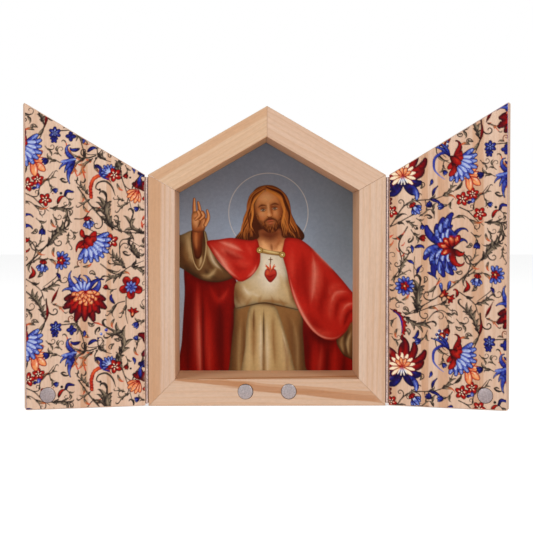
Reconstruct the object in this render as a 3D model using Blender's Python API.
"""A folding wooden shrine in the shape of a small house.

Five mitred pine boards make a deep box with a picture at its back. Two doors, each half of the
house's front, swing on folded strips of woven tape and are kept shut by pairs of round magnets.
X runs to the viewer's right, Y away from the viewer and Z up. The origin is at the middle of the
box's underside. Lengths are in metres.
"""

import math

import bmesh
import bpy
from mathutils import Matrix, Vector

# The box
BOX_WIDTH = 0.160
EAVES_HEIGHT = 0.1558
ROOF_PITCH = math.radians(30.0)
BOARD_FACE = 0.018  # width of each board's front edge
RECESS_DEPTH = 0.054  # from the box's front to the shoulder that the picture lies behind
REBATE_WIDTH = 0.006  # how far the back's rebate is cut into the boards
PICTURE_THICKNESS = 0.001
BACK_THICKNESS = 0.004
BACK_SET_IN = 0.0004  # how far the back board lies inside the box's rear
EASED_EDGE = 0.0005  # radius that sandpaper leaves on the boards' long edges

# The doors
DOOR_THICKNESS = 0.009
DOOR_MEETING_GAP = 0.0006  # between the two doors when both are shut
DOOR_FACE_GAP = 0.0004  # between a shut door and the box's front
DOOR_FOOT_GAP = 0.0003  # between a door's foot and the surface that the box stands on
LEFT_DOOR_OPEN = math.radians(165.0)
RIGHT_DOOR_OPEN = math.radians(159.5)

# The magnets
MAGNET_DIAMETER = 0.010
MAGNET_THICKNESS = 0.0025
MAGNET_SET_IN = 0.0001  # how far a magnet's face lies below the wood
MAGNET_SPREAD = 0.0146  # from the middle of the box to each magnet's centre
MAGNET_RISE = 0.0006  # a magnet's centre above the middle of the bottom rail

# The tape hinges
TAPE_THICKNESS = 0.0005
TAPE_ON_BOX = 0.014  # width glued to the box's side
TAPE_FOLD_ROOM = 0.00015  # from each half of the tape to the fold's axis
TAPE_END_GAP = 0.0015  # the tape stops this far short of the side's ends

# Room between pieces that are glued or seated together
GLUE_LINE = 0.0003

# How far a cutter runs past the wood that it cuts
CUT_PAST = 0.002

# Values that follow from the sizes above
BOX_DEPTH = (
    RECESS_DEPTH + GLUE_LINE + PICTURE_THICKNESS + GLUE_LINE + BACK_THICKNESS + BACK_SET_IN
)
FRONT = -BOX_DEPTH / 2
REAR = BOX_DEPTH / 2
SHOULDER = FRONT + RECESS_DEPTH
MAGNET_HEIGHT = BOARD_FACE / 2 + MAGNET_RISE
HINGE_OFFSET = GLUE_LINE + TAPE_THICKNESS + TAPE_FOLD_ROOM  # from the box's side to the hinge axis
POCKET_DEPTH = MAGNET_SET_IN + MAGNET_THICKNESS + GLUE_LINE

PINE = ("pine", (0.72, 0.50, 0.32), 0.60, 0.0)
PLYWOOD = ("plywood", (0.66, 0.47, 0.30), 0.70, 0.0)
PICTURE = ("picture_print", (0.36, 0.30, 0.34), 0.40, 0.0)
PRINTED_PINE = ("printed_pine", (0.70, 0.48, 0.34), 0.55, 0.0)
NICKEL = ("nickel", (0.55, 0.54, 0.55), 0.35, 1.0)
TAPE = ("woven_tape", (0.56, 0.47, 0.47), 0.90, 0.0)


def clear_scene():
    for obj in list(bpy.data.objects):
        bpy.data.objects.remove(obj, do_unlink=True)


def new_collection(name):
    collection = bpy.data.collections.new(name)
    bpy.context.scene.collection.children.link(collection)
    return collection


def finish(kind):
    """The material of that name, made the first time that it is asked for."""
    name, colour, roughness, metallic = kind
    material = bpy.data.materials.get(name)
    if material is None:
        material = bpy.data.materials.new(name)
        material.use_nodes = True
        material.diffuse_color = (*colour, 1.0)
        shader = material.node_tree.nodes["Principled BSDF"]
        shader.inputs["Base Color"].default_value = (*colour, 1.0)
        shader.inputs["Roughness"].default_value = roughness
        shader.inputs["Metallic"].default_value = metallic
    return material


def house_outline(inset):
    """The house's five corners as (x, z), each side moved in by inset: foot, foot, eaves, ridge, eaves."""
    half = BOX_WIDTH / 2 - inset
    eaves = EAVES_HEIGHT - inset / math.cos(ROOF_PITCH) + inset * math.tan(ROOF_PITCH)
    ridge = eaves + half * math.tan(ROOF_PITCH)
    return [
        Vector(corner)
        for corner in ((-half, inset), (half, inset), (half, eaves), (0.0, ridge), (-half, eaves))
    ]


def plate(name, outline, front, rear, kind, collection):
    """A flat board with this outline, from the plane y = front to y = rear, as a closed mesh."""
    curve = bpy.data.curves.new(name, "CURVE")
    curve.dimensions = "2D"
    curve.fill_mode = "BOTH"
    curve.extrude = (rear - front) / 2
    spline = curve.splines.new("POLY")
    spline.points.add(len(outline) - 1)
    for point, (x, z) in zip(spline.points, outline):
        point.co = (x, z, 0.0, 1.0)
    spline.use_cyclic_u = True
    drawn = bpy.data.objects.new(name + "_outline", curve)
    collection.objects.link(drawn)
    drawn.location.y = (front + rear) / 2
    drawn.rotation_euler.x = math.radians(90.0)
    bpy.context.view_layer.update()

    graph = bpy.context.evaluated_depsgraph_get()
    mesh = bpy.data.meshes.new_from_object(drawn.evaluated_get(graph))
    mesh.name = name
    mesh.transform(drawn.matrix_world)
    bpy.data.objects.remove(drawn, do_unlink=True)
    shape = bmesh.new()
    shape.from_mesh(mesh)
    bmesh.ops.remove_doubles(shape, verts=shape.verts, dist=1e-6)
    bmesh.ops.recalc_face_normals(shape, faces=shape.faces)
    shape.to_mesh(mesh)
    shape.free()

    mesh.materials.clear()
    mesh.materials.append(finish(kind))
    board = bpy.data.objects.new(name, mesh)
    collection.objects.link(board)
    return board


def disc(name, centre, radius, depth, kind, collection, sides=48):
    """A round disc or cutter whose axis runs from front to rear."""
    shape = bmesh.new()
    bmesh.ops.create_cone(
        shape, cap_ends=True, segments=sides, radius1=radius, radius2=radius, depth=depth
    )
    mesh = bpy.data.meshes.new(name)
    shape.to_mesh(mesh)
    shape.free()
    mesh.materials.append(finish(kind))
    mesh.shade_smooth()
    mesh.set_sharp_from_angle(angle=math.radians(40.0))
    made = bpy.data.objects.new(name, mesh)
    made.location = centre
    made.rotation_euler.x = math.radians(90.0)
    collection.objects.link(made)
    return made


def as_cutter(obj):
    obj.hide_render = True
    obj.display_type = "WIRE"
    return obj


def cut(board, cutter):
    boolean = board.modifiers.new("cut_" + cutter.name, "BOOLEAN")
    boolean.operation = "DIFFERENCE"
    boolean.solver = "EXACT"
    boolean.object = cutter


def ease_edges(board, along=None):
    """Rounds a board's edges, or only those that run in one direction, as sandpaper does."""
    shape = bmesh.new()
    shape.from_mesh(board.data)
    edges = []
    for edge in shape.edges:
        run = (edge.verts[1].co - edge.verts[0].co).normalized()
        if along is None or abs(run.dot(along)) > 0.999:
            if edge.calc_face_angle(0.0) > math.radians(20.0):
                edges.append(edge)
    bmesh.ops.bevel(
        shape, geom=edges, offset=EASED_EDGE, segments=2, profile=0.5, affect="EDGES", material=-1
    )
    shape.to_mesh(board.data)
    shape.free()


def frame_board(name, outer, inner, rebate, collection):
    """One board of the box, with mitred ends that each stop half a glue line short of the mitre."""
    run = (outer[1] - outer[0]).normalized()
    start_trim = run * (GLUE_LINE / 2 * (inner[0] - outer[0]).length / BOARD_FACE)
    end_trim = run * (GLUE_LINE / 2 * (inner[1] - outer[1]).length / BOARD_FACE)
    outline = (
        outer[0] + start_trim,
        outer[1] - end_trim,
        inner[1] - end_trim,
        inner[0] + start_trim,
    )
    board = plate(name, outline, FRONT, REAR, PINE, collection)
    ease_edges(board, Vector((run.x, 0.0, run.y)))
    cut(board, rebate)
    return board


def build_box(parts, cutters):
    """The five boards, the picture and the back board. Returns the boards by name."""
    rebate = as_cutter(
        plate(
            "rebate_cutter",
            house_outline(BOARD_FACE - REBATE_WIDTH),
            SHOULDER,
            REAR + CUT_PAST,
            PINE,
            cutters,
        )
    )
    outer = house_outline(0.0)
    inner = house_outline(BOARD_FACE)
    boards = {}
    names = ("bottom_rail", "stile_right", "rafter_right", "rafter_left", "stile_left")
    for side, name in enumerate(names):
        ends = (side, (side + 1) % len(names))
        boards[name] = frame_board(
            name, [outer[i] for i in ends], [inner[i] for i in ends], rebate, parts
        )

    seat = house_outline(BOARD_FACE - REBATE_WIDTH + GLUE_LINE)
    picture_front = SHOULDER + GLUE_LINE
    picture_rear = picture_front + PICTURE_THICKNESS
    plate("picture_panel", seat, picture_front, picture_rear, PICTURE, parts)
    plate("back_board", seat, picture_rear + GLUE_LINE, REAR - BACK_SET_IN, PLYWOOD, parts)
    return boards


def set_magnet(name, board, face, inward, side, parts, cutters):
    """A pocket in the board's face at y = face, and the magnet in it. Inward is the way into the wood."""
    x = side * MAGNET_SPREAD
    pocket = disc(
        name + "_pocket",
        (x, face + inward * (POCKET_DEPTH - CUT_PAST) / 2, MAGNET_HEIGHT),
        MAGNET_DIAMETER / 2 + GLUE_LINE,
        POCKET_DEPTH + CUT_PAST,
        NICKEL,
        cutters,
    )
    cut(board, as_cutter(pocket))
    magnet = disc(
        name,
        (x, face + inward * (MAGNET_SET_IN + MAGNET_THICKNESS / 2), MAGNET_HEIGHT),
        MAGNET_DIAMETER / 2,
        MAGNET_THICKNESS,
        NICKEL,
        parts,
    )
    return magnet, pocket


def tape_leaf(name, side, near, far, inner, outer, parts):
    """One half of a tape hinge: a strip on a side's surface, from x = inner to outer, y = near to far."""
    shape = bmesh.new()
    bmesh.ops.create_cube(shape, size=1.0)
    foot = TAPE_END_GAP
    head = EAVES_HEIGHT - TAPE_END_GAP
    size = (outer - inner, far - near, head - foot)
    middle = (side * (inner + outer) / 2, (near + far) / 2, (foot + head) / 2)
    bmesh.ops.scale(shape, vec=size, verts=shape.verts)
    bmesh.ops.translate(shape, vec=middle, verts=shape.verts)
    mesh = bpy.data.meshes.new(name)
    shape.to_mesh(mesh)
    shape.free()
    mesh.materials.append(finish(TAPE))
    leaf = bpy.data.objects.new(name, mesh)
    parts.objects.link(leaf)
    return leaf


def hang(pieces, axis):
    """Parents pieces that were made where the shut door is to the empty on the hinge's axis."""
    for piece in pieces:
        piece.parent = axis
        piece.matrix_parent_inverse = Matrix.Translation(-axis.location)


def build_door(word, side, opened, parts, cutters):
    """A door with its magnet and its half of the tape, made shut and then swung open."""
    half = BOX_WIDTH / 2
    meeting = DOOR_MEETING_GAP / 2
    rise = (half - meeting) * math.tan(ROOF_PITCH)
    outline = [
        (side * half, DOOR_FOOT_GAP),
        (side * meeting, DOOR_FOOT_GAP),
        (side * meeting, EAVES_HEIGHT + rise),
        (side * half, EAVES_HEIGHT),
    ]
    inner_face = FRONT - DOOR_FACE_GAP
    outer_face = inner_face - DOOR_THICKNESS
    door = plate("door_" + word, outline, outer_face, inner_face, PRINTED_PINE, parts)
    ease_edges(door)
    magnet, pocket = set_magnet(
        "door_magnet_" + word, door, inner_face, -1.0, side, parts, cutters
    )
    leaf = tape_leaf(
        "hinge_tape_" + word + "_door",
        side,
        outer_face + EASED_EDGE,
        inner_face - EASED_EDGE,
        half + GLUE_LINE,
        half + GLUE_LINE + TAPE_THICKNESS,
        parts,
    )
    axis = bpy.data.objects.new("door_" + word + "_axis", None)
    axis.location = (side * (half + HINGE_OFFSET), FRONT - DOOR_FACE_GAP / 2, 0.0)
    parts.objects.link(axis)
    hang((door, magnet, pocket, leaf), axis)
    axis.rotation_euler.z = side * opened


def main():
    clear_scene()
    parts = new_collection("folding_house_shrine")
    cutters = new_collection("cutters")
    boards = build_box(parts, cutters)
    half = BOX_WIDTH / 2
    for word, side, opened in (("left", -1, LEFT_DOOR_OPEN), ("right", 1, RIGHT_DOOR_OPEN)):
        set_magnet(
            "box_magnet_" + word, boards["bottom_rail"], FRONT, 1.0, side, parts, cutters
        )
        tape_leaf(
            "hinge_tape_" + word + "_box",
            side,
            FRONT + EASED_EDGE,
            FRONT + EASED_EDGE + TAPE_ON_BOX,
            half + GLUE_LINE,
            half + GLUE_LINE + TAPE_THICKNESS,
            parts,
        )
        build_door(word, side, opened, parts, cutters)


main()
